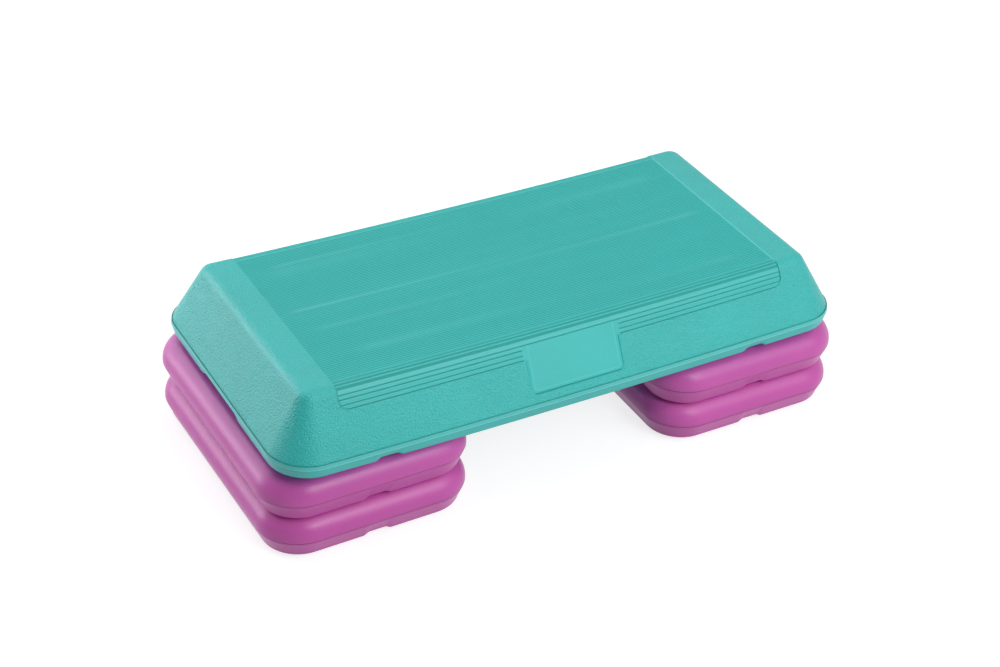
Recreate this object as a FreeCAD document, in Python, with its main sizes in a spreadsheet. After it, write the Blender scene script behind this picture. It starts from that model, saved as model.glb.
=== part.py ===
import FreeCAD, Part
import math
import os
import Sketcher
from FreeCAD import Vector

# Aerobic step: a hollow platform on two stacks of two hollow risers, all on push-in rubber feet.
# X runs along the platform, Y across it with the front at -Y, Z up, and the origin is on the floor
# under the middle of the platform.

doc = FreeCAD.newDocument("AerobicStep")
sheet = doc.addObject("Spreadsheet::Sheet", "Sizes")

# Driving dimensions, in millimetres and degrees
SIZES = {
    # platform, measured up from the soles of its own feet
    "platform_length": 724.0,
    "platform_width": 362.0,
    "platform_height": 101.6,
    "platform_wall": 4.0,
    "lip_rise": 16.4,
    "lip_height": 16.9,
    "lip_parting": 9.6,
    "lip_draft": 2.2,
    "lip_round": 3.0,
    "ledge_width": 1.7,
    "end_slope_run": 39.3,
    "side_slope_run": 36.4,
    "rim_corner_radius": 49.6,
    "top_corner_radius": 11.7,
    "top_edge_radius": 13.7,
    "plinth_inset": 20.0,
    "plinth_corner_radius": 32.0,
    # ribbed grip field on the platform's top, which runs a little over its long edges
    "field_length": 568.4,
    "field_overlap": 3.0,
    "field_depth": 1.0,
    "field_corner_radius": 2.0,
    "rib_pitch": 3.06,
    "rib_height": 0.6,
    # notches under the platform's rim
    "lip_notch_width": 36.0,
    "lip_notch_height": 4.0,
    "lip_notch_ramp": 8.0,
    "lip_notch_setback": 126.0,
    "hand_notch_width": 105.0,
    "hand_notch_height": 5.0,
    "hand_notch_ramp": 10.0,
    "notch_reach": 9.0,
    # risers, measured up from the soles of their own feet
    "riser_length": 252.5,
    "riser_width": 357.0,
    "riser_height": 49.4,
    "riser_wall": 4.0,
    "riser_parting": 22.9,
    "riser_draft": 6.9,
    "riser_corner_radius": 51.0,
    "riser_dome_radius": 24.7,
    "riser_bottom_radius": 5.0,
    "riser_notch_width": 35.0,
    "riser_notch_height": 3.5,
    "riser_notch_ramp": 8.0,
    # how the stacks stand under the platform
    "riser_overhang": 11.5,
    "stack_gap": 1.4,
    "left_stack_shift": 5.8,
    "left_stack_turn": 0.75,
    "right_stack_shift": -1.8,
    # rubber feet and the cups that take them
    "foot_diameter": 28.0,
    "foot_proud": 5.1,
    "foot_edge_radius": 1.5,
    "neck_diameter": 8.0,
    "neck_clearance": 0.3,
    "barb_diameter": 11.0,
    "barb_height": 6.0,
    "barb_tip_diameter": 5.0,
    "cup_clearance": 1.0,
    "cup_margin": 7.0,
    # how far cuts run past the faces that they open
    "overrun": 1.0,
}
# A rounded edge takes at most this share of the wall that it rounds
FILLET_LIMIT_SHARE = 0.94
# A tread rib's foot and crown, as shares of the step from rib to rib
RIB_FOOT_SHARE = 0.66
RIB_CROWN_SHARE = 0.34
# Edges within this distance of a level count as lying on it
LEVEL_TOLERANCE = 0.001

for row, (name, value) in enumerate(SIZES.items(), start=1):
    sheet.set(f"A{row}", name)
    sheet.set(f"B{row}", str(value))
    sheet.setAlias(f"B{row}", name)
doc.recompute()

# Heights, places and radii that follow from the driving dimensions
LEDGE_HEIGHT = "(Sizes.lip_rise + Sizes.lip_height)"
SLOPE_HEIGHT = f"(Sizes.platform_height - {LEDGE_HEIGHT})"
SIDE_SLANT = f"sqrt({SLOPE_HEIGHT} ^ 2 + Sizes.side_slope_run ^ 2)"
LEVEL_INSET = (
    "(Sizes.ledge_width + Sizes.side_slope_run"
    f" + Sizes.top_edge_radius * ({SIDE_SLANT} - Sizes.side_slope_run) / {SLOPE_HEIGHT})"
)
FIELD_WIDTH = f"(Sizes.platform_width - 2 * {LEVEL_INSET} + 2 * Sizes.field_overlap)"
RIB_COUNT = f"round({FIELD_WIDTH} / Sizes.rib_pitch)"
RIB_STEP = f"({FIELD_WIDTH} / {RIB_COUNT})"
CUP_DEPTH = "(Sizes.foot_proud - Sizes.stack_gap)"
RISER_CROWN = "(Sizes.foot_proud + Sizes.riser_height)"
RISER_WAIST = "(Sizes.foot_proud + Sizes.riser_parting)"
DOME_HEIGHT = "(Sizes.riser_height - Sizes.riser_parting)"
DOME_RADIUS = f"min(Sizes.riser_dome_radius; {DOME_HEIGHT} * {FILLET_LIMIT_SHARE})"
STACK_PITCH = f"({RISER_CROWN} - {CUP_DEPTH})"
STACK_X = "(Sizes.platform_length / 2 + Sizes.riser_overhang - Sizes.riser_length / 2)"
STACK_SLACK = (
    "(max(abs(Sizes.left_stack_shift); abs(Sizes.right_stack_shift))"
    " + abs(sin(Sizes.left_stack_turn * 1 deg)) * Sizes.riser_width / 2 + Sizes.cup_clearance)"
)
CUP_RADIUS = f"(Sizes.foot_diameter / 2 + {STACK_SLACK})"
CUP_BORDER = f"({DOME_RADIUS} + Sizes.cup_margin + {CUP_RADIUS})"
FOOT_X = f"(Sizes.riser_length / 2 - {CUP_BORDER})"
FOOT_Y = f"(min(Sizes.riser_width; Sizes.platform_width) / 2 - {CUP_BORDER})"
NECK_HOLE_RADIUS = "(Sizes.neck_diameter / 2 + Sizes.neck_clearance)"

# A foot, hole or cup stands in each quarter of a part's plan
QUARTERS = {"front_left": (-1, -1), "front_right": (1, -1), "back_left": (-1, 1), "back_right": (1, 1)}


def origin_plane(body, role):
    """The body's own origin plane or axis with the given role."""
    return next(item for item in body.Origin.OriginFeatures if item.Role == role)


def attach(item, body, role, place):
    """Seat a sketch or primitive on an origin plane of its body, moved by three expressions."""
    item.AttachmentSupport = (origin_plane(body, role), [""])
    item.MapMode = "FlatFace"
    for axis, offset in zip("xyz", place):
        item.setExpression(f"AttachmentOffset.Base.{axis}", offset)


def new_body(name):
    """An empty body."""
    return doc.addObject("PartDesign::Body", name)


def primitive(body, kind, name, sizes, place=("0", "0", "0"), role="XY_Plane"):
    """Add or take away a simple solid whose sizes and place are expressions."""
    item = body.newObject(f"PartDesign::{kind}", name)
    attach(item, body, role, place)
    for size, expression in sizes.items():
        item.setExpression(size, expression)
    return item


def rounded_rectangle(body, name, height, length, width, radius):
    """A sketch of a rectangle with round corners, centred on the Z axis at the given height."""
    sketch = body.newObject("Sketcher::SketchObject", name)
    attach(sketch, body, "XY_Plane", ("0", "0", height))
    corner = SIZES["top_corner_radius"]
    reach_x = SIZES["platform_length"] / 2 - corner
    reach_y = SIZES["platform_width"] / 2 - corner
    centres = [Vector(x, y, 0) for x, y in
               ((reach_x, -reach_y), (reach_x, reach_y), (-reach_x, reach_y), (-reach_x, -reach_y))]
    outward = [Vector(0, -corner, 0), Vector(corner, 0, 0), Vector(0, corner, 0), Vector(-corner, 0, 0)]
    for side in range(4):
        start = centres[side - 1] + outward[side]
        end = centres[side] + outward[side]
        sketch.addGeometry(Part.LineSegment(start, end))
    for side in range(4):
        circle = Part.Circle(centres[side], Vector(0, 0, 1), corner)
        sketch.addGeometry(Part.ArcOfCircle(circle, (side - 1) * math.pi / 2, side * math.pi / 2))
    for side in range(4):
        arc = side + 4
        following = (side + 1) % 4
        sketch.addConstraint(Sketcher.Constraint("Tangent", side, 2, arc, 1))
        sketch.addConstraint(Sketcher.Constraint("Tangent", arc, 2, following, 1))
    for side, kind in enumerate(("Horizontal", "Vertical", "Horizontal", "Vertical")):
        sketch.addConstraint(Sketcher.Constraint(kind, side))
    for arc in (5, 6, 7):
        sketch.addConstraint(Sketcher.Constraint("Equal", 4, arc))
    sketch.addConstraint(Sketcher.Constraint("Symmetric", 4, 3, 6, 3, -1, 1))
    dimensions = {
        "corner": (Sketcher.Constraint("Radius", 4, corner), radius),
        "length": (Sketcher.Constraint("DistanceX", 3, 1, 1, 1, 2 * (reach_x + corner)), length),
        "width": (Sketcher.Constraint("DistanceY", 0, 1, 2, 1, 2 * (reach_y + corner)), width),
    }
    for label, (constraint, expression) in dimensions.items():
        sketch.renameConstraint(sketch.addConstraint(constraint), label)
        sketch.setExpression(f"Constraints.{label}", expression)
    return sketch


def ring(body, name, height, owner, end_inset, side_inset, radius):
    """A rounded rectangle set in from the plan outline of the platform or a riser."""
    length = f"Sizes.{owner}_length - 2 * ({end_inset})"
    width = f"Sizes.{owner}_width - 2 * ({side_inset})"
    return rounded_rectangle(body, name, height, length, width, radius)


def loft(body, name, sketches):
    """A straight-sided solid through the given sketches."""
    item = body.newObject("PartDesign::AdditiveLoft", name)
    item.Profile = sketches[0]
    item.Sections = sketches[1:]
    item.Ruled = True
    doc.recompute()
    return item


def pad(body, name, sketch, length):
    """A straight solid upwards from a sketch."""
    item = body.newObject("PartDesign::Pad", name)
    item.Profile = sketch
    item.setExpression("Length", length)
    doc.recompute()
    return item


def round_edges(body, name, feature, radius, upper):
    """Round the outline of a feature's highest or lowest flat face."""
    box = feature.Shape.BoundBox
    level = box.ZMax if upper else box.ZMin
    edges = [f"Edge{number}" for number, edge in enumerate(feature.Shape.Edges, start=1)
             if all(abs(vertex.Z - level) < LEVEL_TOLERANCE for vertex in edge.Vertexes)]
    item = body.newObject("PartDesign::Fillet", name)
    item.Base = (feature, edges)
    item.setExpression("Radius", radius)
    doc.recompute()
    return item


def notch(body, name, role, outward, centre, low, half_span, width, height, ramp):
    """Take a shallow notch with sloping ends out of a lower edge, from outside inwards."""
    bevel = f"{ramp} / {height} * Sizes.overrun"
    sizes = {
        "Xmin": f"-({width} / 2 + {bevel})",
        "Xmax": f"{width} / 2 + {bevel}",
        "X2min": f"-({width} / 2 - {ramp})",
        "X2max": f"{width} / 2 - {ramp}",
        "Ymin": "-Sizes.overrun",
        "Ymax": height,
    }
    near = f"({half_span} - Sizes.notch_reach)"
    far = f"({half_span} + Sizes.overrun)"
    span = (near, far) if outward > 0 else (f"-{far}", f"-{near}")
    for size, expression in zip(("Zmin", "Zmax"), span):
        sizes[size] = expression
        sizes[size.replace("Z", "Z2")] = expression
    return primitive(body, "SubtractiveWedge", name, sizes, (centre, low, "0"), role)


def neck_holes(body, wall, reach_x, reach_y):
    """The holes that the feet's necks pass through, as plugs on the hollow."""
    for quarter, (side_x, side_y) in QUARTERS.items():
        place = (f"{side_x} * {reach_x}", f"{side_y} * {reach_y}", "Sizes.foot_proud - Sizes.overrun")
        sizes = {"Radius": NECK_HOLE_RADIUS, "Height": f"{wall} + 2 * Sizes.overrun"}
        primitive(body, "AdditiveCylinder", f"{body.Name}_hole_{quarter}", sizes, place)


def hollow(label, shell, cavity):
    """A moulding: the shell less its hollow."""
    item = doc.addObject("Part::Cut", label)
    item.Label = label
    item.Base = shell
    item.Tool = cavity
    return item


def grip_field(body):
    """The shallow field on the platform's top, with ribs that run along the platform."""
    outline = rounded_rectangle(body, "field_outline", "Sizes.platform_height", "Sizes.field_length",
                                FIELD_WIDTH, "Sizes.field_corner_radius")
    field = body.newObject("PartDesign::Pocket", "field")
    field.Profile = outline
    field.setExpression("Length", "Sizes.field_depth")
    sizes = {"Ymin": "0", "Ymax": "Sizes.rib_height"}
    for level, share in (("", RIB_FOOT_SHARE), ("2", RIB_CROWN_SHARE)):
        sizes[f"X{level}min"] = f"-{share} * {RIB_STEP} / 2"
        sizes[f"X{level}max"] = f"{share} * {RIB_STEP} / 2"
        sizes[f"Z{level}min"] = "-Sizes.field_length / 2"
        sizes[f"Z{level}max"] = "Sizes.field_length / 2"
    first = f"({RIB_STEP} - {FIELD_WIDTH}) / 2"
    rib = primitive(body, "AdditiveWedge", "rib", sizes,
                    (first, "Sizes.platform_height - Sizes.field_depth", "0"), "YZ_Plane")
    doc.recompute()
    ribs = body.newObject("PartDesign::LinearPattern", "ribs")
    ribs.Originals = [rib]
    ribs.Direction = (origin_plane(body, "Y_Axis"), [""])
    ribs.setExpression("Length", f"{FIELD_WIDTH} - {RIB_STEP}")
    ribs.setExpression("Occurrences", RIB_COUNT)
    body.Tip = ribs
    doc.recompute()


def platform_shell():
    """The platform's outside: rim, slopes, top and the plinth under it."""
    body = new_body("platform_shell")
    lip_foot = ring(body, "lip_foot", "Sizes.lip_rise", "platform", "Sizes.lip_draft", "Sizes.lip_draft",
                    "Sizes.rim_corner_radius - Sizes.lip_draft")
    parting = ring(body, "lip_parting_line", "Sizes.lip_rise + Sizes.lip_parting", "platform", "0", "0",
                   "Sizes.rim_corner_radius")
    pad(body, "upper_lip", parting, "Sizes.lip_height - Sizes.lip_parting")
    lower_lip = loft(body, "lower_lip", [parting, lip_foot])
    round_edges(body, "lip_bottom_round", lower_lip, "Sizes.lip_round", upper=False)
    slope_foot = ring(body, "slope_foot", LEDGE_HEIGHT, "platform", "Sizes.ledge_width",
                      "Sizes.ledge_width", "Sizes.rim_corner_radius - Sizes.ledge_width")
    slope_top = ring(body, "slope_top", "Sizes.platform_height", "platform",
                     "Sizes.ledge_width + Sizes.end_slope_run",
                     "Sizes.ledge_width + Sizes.side_slope_run", "Sizes.top_corner_radius")
    slopes = loft(body, "slopes", [slope_foot, slope_top])
    round_edges(body, "top_edge_round", slopes, "Sizes.top_edge_radius", upper=True)
    grip_field(body)
    plinth = ring(body, "plinth_outline", "Sizes.foot_proud", "platform", "Sizes.plinth_inset",
                  "Sizes.plinth_inset", "Sizes.plinth_corner_radius")
    pad(body, "plinth", plinth, "Sizes.lip_rise - Sizes.foot_proud")
    half_width = "Sizes.platform_width / 2"
    half_length = "Sizes.platform_length / 2"
    for outward, face in ((1, "front"), (-1, "back")):
        for side, end in ((-1, "left"), (1, "right")):
            notch(body, f"lip_notch_{face}_{end}", "XZ_Plane", outward,
                  f"{side} * ({half_length} - Sizes.lip_notch_setback)", "Sizes.lip_rise", half_width,
                  "Sizes.lip_notch_width", "Sizes.lip_notch_height", "Sizes.lip_notch_ramp")
    for outward, end in ((-1, "left"), (1, "right")):
        notch(body, f"hand_notch_{end}", "YZ_Plane", outward, "0", "Sizes.lip_rise", half_length,
              "Sizes.hand_notch_width", "Sizes.hand_notch_height", "Sizes.hand_notch_ramp")
    return body


def platform_cavity():
    """The platform's hollow, one wall inside its slopes, top and plinth."""
    body = new_body("platform_cavity")
    wall = "Sizes.platform_wall"
    runs = {"end": "Sizes.end_slope_run", "side": "Sizes.side_slope_run"}
    slant = {face: f"{wall} * sqrt({SLOPE_HEIGHT} ^ 2 + {run} ^ 2) / {SLOPE_HEIGHT}"
             for face, run in runs.items()}
    foot = {face: f"Sizes.ledge_width + {slant[face]}" for face in runs}
    head = {face: f"{foot[face]} + {run} * (1 - {wall} / {SLOPE_HEIGHT})" for face, run in runs.items()}
    plinth = (f"Sizes.plinth_inset + {wall}", f"Sizes.plinth_inset + {wall}",
              f"Sizes.plinth_corner_radius - {wall}")
    floor = ring(body, "cavity_floor", f"Sizes.foot_proud + {wall}", "platform", *plinth)
    waist = ring(body, "cavity_waist", f"Sizes.lip_rise + {wall}", "platform", *plinth)
    shoulder = ring(body, "cavity_shoulder", LEDGE_HEIGHT, "platform", foot["end"], foot["side"],
                    f"Sizes.rim_corner_radius - Sizes.ledge_width - {wall}")
    roof = ring(body, "cavity_roof", f"Sizes.platform_height - {wall}", "platform", head["end"],
                head["side"], "Sizes.top_corner_radius")
    pad(body, "cavity_plinth", floor, "Sizes.lip_rise - Sizes.foot_proud")
    loft(body, "cavity_lip", [waist, shoulder])
    slopes = loft(body, "cavity_slopes", [shoulder, roof])
    round_edges(body, "cavity_top_round", slopes, f"Sizes.top_edge_radius - {wall}", upper=True)
    neck_holes(body, wall, f"({STACK_X} + {FOOT_X})", FOOT_Y)
    return body


def riser_shell(stem):
    """A riser's outside: drafted foot, domed top, edge notches and the cups in its crown."""
    body = new_body(f"{stem}_shell")
    bottom = ring(body, f"{stem}_bottom", "Sizes.foot_proud", "riser", "Sizes.riser_draft",
                  "Sizes.riser_draft", "Sizes.riser_corner_radius - Sizes.riser_draft")
    waist = ring(body, f"{stem}_parting_line", RISER_WAIST, "riser", "0", "0", "Sizes.riser_corner_radius")
    pad(body, f"{stem}_block", waist, DOME_HEIGHT)
    skirt = loft(body, f"{stem}_skirt", [waist, bottom])
    dome = round_edges(body, f"{stem}_dome", skirt, DOME_RADIUS, upper=True)
    round_edges(body, f"{stem}_bottom_round", dome, "Sizes.riser_bottom_radius", upper=False)
    half_width = "(Sizes.riser_width / 2 - Sizes.riser_draft)"
    for outward, face in ((1, "front"), (-1, "back")):
        notch(body, f"{stem}_notch_{face}", "XZ_Plane", outward, "0", "Sizes.foot_proud", half_width,
              "Sizes.riser_notch_width", "Sizes.riser_notch_height", "Sizes.riser_notch_ramp")
    for quarter, (side_x, side_y) in QUARTERS.items():
        place = (f"{side_x} * {FOOT_X}", f"{side_y} * {FOOT_Y}", f"{RISER_CROWN} - {CUP_DEPTH}")
        sizes = {"Radius": CUP_RADIUS, "Height": f"{CUP_DEPTH} + Sizes.overrun"}
        primitive(body, "SubtractiveCylinder", f"{stem}_cup_{quarter}", sizes, place)
    return body


def riser_cavity(stem):
    """A riser's hollow, one wall inside its skirt, dome, cups and notches."""
    body = new_body(f"{stem}_cavity")
    wall = "Sizes.riser_wall"
    floor_inset = f"Sizes.riser_draft + Sizes.notch_reach + {wall}"
    floor = ring(body, f"{stem}_cavity_floor", f"Sizes.foot_proud + {wall}", "riser", floor_inset,
                 floor_inset, f"Sizes.riser_corner_radius - ({floor_inset})")
    waist = ring(body, f"{stem}_cavity_waist", RISER_WAIST, "riser", wall, wall,
                 f"Sizes.riser_corner_radius - {wall}")
    pad(body, f"{stem}_cavity_block", waist, f"{DOME_HEIGHT} - {wall}")
    skirt = loft(body, f"{stem}_cavity_skirt", [waist, floor])
    round_edges(body, f"{stem}_cavity_dome", skirt, f"{DOME_RADIUS} - {wall}", upper=True)
    for quarter, (side_x, side_y) in QUARTERS.items():
        place = (f"{side_x} * {FOOT_X}", f"{side_y} * {FOOT_Y}", f"{RISER_CROWN} - {CUP_DEPTH} - {wall}")
        sizes = {"Radius": f"{CUP_RADIUS} + {wall}", "Height": f"{CUP_DEPTH} + {wall}"}
        primitive(body, "SubtractiveCylinder", f"{stem}_cup_wall_{quarter}", sizes, place)
    neck_holes(body, wall, FOOT_X, FOOT_Y)
    return body


def foot(label, wall, x, y, z):
    """A push-in rubber foot: a disc under the wall, a neck through it and a barb inside."""
    body = new_body(label)
    body.Label = label
    disc = primitive(body, "AdditiveCylinder", f"{label}_disc",
                     {"Radius": "Sizes.foot_diameter / 2", "Height": "Sizes.foot_proud"})
    doc.recompute()
    edge_radius = f"min(Sizes.foot_edge_radius; Sizes.foot_proud * {FILLET_LIMIT_SHARE})"
    round_edges(body, f"{label}_edge", disc, edge_radius, upper=False)
    neck_height = f"{wall} + Sizes.neck_clearance"
    primitive(body, "AdditiveCylinder", f"{label}_neck",
              {"Radius": "Sizes.neck_diameter / 2", "Height": neck_height}, ("0", "0", "Sizes.foot_proud"))
    primitive(body, "AdditiveCone", f"{label}_barb",
              {"Radius1": "Sizes.barb_diameter / 2", "Radius2": "Sizes.barb_tip_diameter / 2",
               "Height": "Sizes.barb_height"}, ("0", "0", f"Sizes.foot_proud + {neck_height}"))
    place(body, x, y, z)
    return body


def place(item, x, y, z, turn=None):
    """Put a finished piece where it stands."""
    for axis, offset in zip("xyz", (x, y, z)):
        item.setExpression(f"Placement.Base.{axis}", offset)
    if turn:
        item.Placement.Rotation = FreeCAD.Rotation(Vector(0, 0, 1), SIZES[turn])
        item.setExpression("Placement.Rotation.Angle", f"Sizes.{turn} * 1 deg")


# The platform and its feet, on top of two risers
pieces = []
platform = hollow("platform", platform_shell(), platform_cavity())
place(platform, "0", "0", f"2 * {STACK_PITCH}")
pieces.append(platform)
for quarter, (side_x, side_y) in QUARTERS.items():
    along = f"{side_x} * ({STACK_X} + {FOOT_X})"
    across = f"{side_y} * {FOOT_Y}"
    sole = f"2 * {STACK_PITCH}"
    pieces.append(foot(f"platform_foot_{quarter}", "Sizes.platform_wall", along, across, sole))

# The four risers and their feet: the left stack stands a little back and turned
STACKS = {
    "left": (-1, "Sizes.left_stack_shift", "left_stack_turn"),
    "right": (1, "Sizes.right_stack_shift", None),
}
for level, sole in (("lower", "0"), ("upper", STACK_PITCH)):
    for stack, (side, shift, turn) in STACKS.items():
        label = f"{level}_{stack}_riser"
        riser = hollow(label, riser_shell(label), riser_cavity(label))
        place(riser, f"{side} * {STACK_X}", shift, sole, turn)
        pieces.append(riser)
        angle = f"(Sizes.{turn} * 1 deg)" if turn else "(0 deg)"
        for quarter, (side_x, side_y) in QUARTERS.items():
            along = f"{side_x} * {FOOT_X}"
            across = f"{side_y} * {FOOT_Y}"
            x = f"{side} * {STACK_X} + {along} * cos({angle}) - {across} * sin({angle})"
            y = f"{shift} + {along} * sin({angle}) + {across} * cos({angle})"
            pieces.append(foot(f"{label}_foot_{quarter}", "Sizes.riser_wall", x, y, sole))

doc.recompute()
for item in doc.Objects:
    if "Invalid" in item.State or "Error" in item.State:
        raise RuntimeError(f"{item.Name} failed: {item.State}")
for piece in pieces:
    if piece.Shape.isNull() or not piece.Shape.isValid() or len(piece.Shape.Solids) != 1:
        raise RuntimeError(f"{piece.Label} is not one valid solid")

os.makedirs("parts", exist_ok=True)
for piece in pieces:
    piece.Shape.exportStep(f"parts/{piece.Label}.step")
print(f"{len(pieces)} parts written")
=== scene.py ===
import math
import bpy
import numpy as np
from mathutils import Matrix, Vector
from mathutils.geometry import delaunay_2d_cdt


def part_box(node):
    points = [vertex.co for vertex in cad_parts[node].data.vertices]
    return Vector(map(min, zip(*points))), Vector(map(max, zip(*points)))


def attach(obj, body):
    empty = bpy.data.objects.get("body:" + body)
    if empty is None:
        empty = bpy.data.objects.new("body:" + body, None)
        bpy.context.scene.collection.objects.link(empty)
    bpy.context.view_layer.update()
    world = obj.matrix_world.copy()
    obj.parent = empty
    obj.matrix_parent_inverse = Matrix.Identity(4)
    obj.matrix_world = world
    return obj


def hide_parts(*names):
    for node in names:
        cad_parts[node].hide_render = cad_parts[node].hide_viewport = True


# Aerobic step: a teal platform on two stacks of orchid risers, all moulded, on black rubber feet.
# X runs along the platform, Y across it with the front at -Y, Z up from the floor, in metres.

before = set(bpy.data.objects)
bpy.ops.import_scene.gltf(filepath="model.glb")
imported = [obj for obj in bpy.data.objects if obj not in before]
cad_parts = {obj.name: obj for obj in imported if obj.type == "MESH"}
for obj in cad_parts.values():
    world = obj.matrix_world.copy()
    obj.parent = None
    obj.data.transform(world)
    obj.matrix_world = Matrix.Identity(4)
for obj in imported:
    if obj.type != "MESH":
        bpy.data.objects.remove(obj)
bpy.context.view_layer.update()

# The platform's outline
PLATFORM_LOW, PLATFORM_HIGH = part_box("platform")
HALF_LENGTH = (PLATFORM_HIGH.x - PLATFORM_LOW.x) / 2
HALF_WIDTH = (PLATFORM_HIGH.y - PLATFORM_LOW.y) / 2
TOP = PLATFORM_HIGH.z
# The plinth under the rim
PLINTH_BOTTOM = PLATFORM_LOW.z
PLINTH_INSET = 0.020
PLINTH_CORNER_RADIUS = 0.032
PLINTH_EDGE_RADIUS = 0.003
PLINTH_HEIGHT = 0.0113
# The rim: an upper band, a parting bead with a fine line under it, and a drafted lower band
LIP_BOTTOM = PLINTH_BOTTOM + PLINTH_HEIGHT
LIP_HEIGHT = 0.0169
LIP_PARTING = 0.0116
LIP_DRAFT = 0.0022
LIP_ROUND = 0.003
LIP_EDGE_RUN = 0.0005
LIP_EDGE_DROP = 0.0022
PARTING_BEAD = 0.0004
PARTING_BEAD_WIDTH = 0.0012
PARTING_LINE = 0.0005
PARTING_SHADE = 0.6
# Painted highlights on the rim's upper band, on its bead and on its lower band
RIM_HIGHLIGHT = 0.45
BEAD_HIGHLIGHT = 1.0
LOWER_RIM_HIGHLIGHT = 0.10
# The ledge between the rim and the slopes, with the groove at their foot and the painted shade in it
LEDGE_WIDTH = 0.0017
LEDGE_GROOVE = 0.0008
LEDGE_GROOVE_DEPTH = 0.0012
LEDGE_SHADE = 1.0
LEDGE_HEIGHT = LIP_BOTTOM + LIP_HEIGHT
# The corners, the slopes and the rounded edge above them
RIM_CORNER_RADIUS = 0.0496
MIN_CORNER_RADIUS = 0.005
TOP_CORNER_RADIUS = 0.0117
TOP_EDGE_RADIUS = 0.0137
END_SLOPE_RUN = 0.0393
SIDE_SLOPE_RUN = 0.0364
SLOPE_HEIGHT = TOP - LEDGE_HEIGHT
# The long platform hangs a little between its stacks
PLATFORM_SAG = 0.0043

# The grip field: a shallow saddle over the top and both long edges, ribbed along the platform
FIELD_HALF_LENGTH = 0.2842
FIELD_DEPTH = 0.0010
FIELD_WALL = 0.0009
FIELD_CORNER_RADIUS = 0.0120
FIELD_FOOT = 0.0340
# The painted highlight on the wall at the field's right end, and its half width
END_WALL_HIGHLIGHT = 0.6
END_LINE = 0.0007
# The tread's ribs, with the painted shade in their valleys and the painted highlight on their crests
RIB_COUNT = 90
RIB_HEIGHT = 0.0006
RIB_END = 0.0008
TREAD_SHADE = 0.65
TREAD_CREST_HIGHLIGHT = 0.12
# Where a tread rib's section turns, as shares of its pitch, and how high it stands there
RIB_PHASE_SHARES = (0.0, 0.17, 0.33, 0.5, 0.67, 0.83)
RIB_HEIGHT_SHARES = (0.0, 0.06, 0.86, 1.0, 0.86, 0.06)
# Bars along the long edges, as distances down the face from the end of the level top
TREAD_END = 0.0034
EDGE_BARS = ((0.0050, 0.0075), (0.0107, 0.0166), (0.0172, 0.0217), (0.0223, 0.0276), (0.0282, 0.0330))
EDGE_BAR_SETBACK = 0.0007
EDGE_BAR_SHOULDER = 0.0004
GROOVE_DEPTH = 0.0014
# Painted shade in the channel above the bars, in the grooves between them and on the bars, beside the darkest crevice
CHANNEL_SHADE = 0.65
GROOVE_SHADE = 0.6
BAR_SHADE = 0.12
# How strong the painted shade and painted highlights of the back edge are beside the front's
BACK_CLARITY = 0.5
# The painted shade along the lower outlines of the field and the badge, and the lines' half width
FOOT_SHADE = 0.9
BADGE_FOOT_SHADE = 0.9
FOOT_LINE = 0.0007
# The shade just above the groove at the foot of the slopes, and its width
SLOPE_FOOT_SHADE = 0.6
SLOPE_FOOT_LINE = 0.0011
# The painted highlight on the left end's rounded edge: strength, place and half width as shares of the round,
# and how far from the corners it fades
END_EDGE_HIGHLIGHT = 0.35
END_EDGE_PLACE = 0.7
END_EDGE_WIDTH = 0.25
END_EDGE_FADE = 0.030
# Painted highlight lines along the bars' crests: distance down the face, half width and strength
EDGE_HIGHLIGHT_LINES = ((0.0022, 0.0006, 0.08), (0.0066, 0.0007, 0.20), (0.0115, 0.0007, 0.12), (0.0148, 0.0011, 0.25),
              (0.0181, 0.0006, 0.16), (0.0206, 0.0006, 0.14), (0.0235, 0.0006, 0.14), (0.0263, 0.0006, 0.14),
              (0.0293, 0.0006, 0.14), (0.0317, 0.0006, 0.12))
# Faint sink marks along the tread, painted as lighter streaks of highlight: place across it, strong end, faint end,
# half width and strength
SINK_MARKS = ((0.103, -0.262, 0.020, 0.0026, 0.24), (0.090, -0.272, -0.060, 0.0100, 0.10),
              (0.008, -0.280, 0.060, 0.0026, 0.36), (-0.002, 0.274, -0.080, 0.0036, 0.20),
              (-0.034, -0.268, 0.000, 0.0040, 0.16), (-0.088, -0.240, 0.000, 0.0060, 0.16),
              (0.095, 0.266, 0.020, 0.0070, 0.14), (-0.105, 0.262, 0.060, 0.0050, 0.12))
# How far from its strong end a sink mark takes to appear
SINK_START = 0.030

# The bare badge on each long side, sunk as deep as the bars, with a moat along its edge and a painted highlight along
# an inner border
BADGE_HALF_LENGTH = 0.0595
BADGE_HEAD = 0.0205
BADGE_FOOT = 0.0742
BADGE_CORNER_RADIUS = 0.0070
BADGE_MOAT = 0.0005
BADGE_MOAT_WIDTH = 0.0012
BADGE_BORDER = 0.0050
BADGE_BORDER_WIDTH = 0.0007
BADGE_BORDER_HIGHLIGHT = 0.22
BADGE_CLEARANCE = 0.0030

# Notches under the rims, and a nub that hangs from the front one
LIP_NOTCH_X = 0.237
LIP_NOTCH = {"width": 0.034, "height": 0.004, "ramp": 0.008}
LIP_NUB_X = 0.0506
LIP_NUB = {"width": 0.0044, "height": -0.0012, "ramp": 0.0012}
HAND_NOTCH = {"width": 0.105, "height": 0.005, "ramp": 0.010}
RISER_NOTCH = {"width": 0.035, "height": 0.0035, "ramp": 0.008}
# How far in the notches reach, and the run of their back walls
NOTCH_REACH = 0.009
NOTCH_BACK = 0.0006

# The risers
RISER_HALF_LENGTH = 0.12625
RISER_HALF_WIDTH = 0.1785
RISER_HEIGHT = 0.0494
RISER_PARTING = 0.0229
RISER_DRAFT = 0.0069
RISER_CORNER_RADIUS = 0.051
RISER_DOME_RADIUS = 0.0247
RISER_BOTTOM_RADIUS = 0.005
# The parting groove and the bead below it, whose share of the groove's depth is negative as it stands out
RISER_GROOVE = 0.00045
RISER_GROOVE_WIDTH = 0.0013
RISER_BEAD_DROP = 0.0030
RISER_BEAD_SHARE = -0.35
# How far the left stack is turned, in degrees
LEFT_STACK_TURN = 0.75
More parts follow.
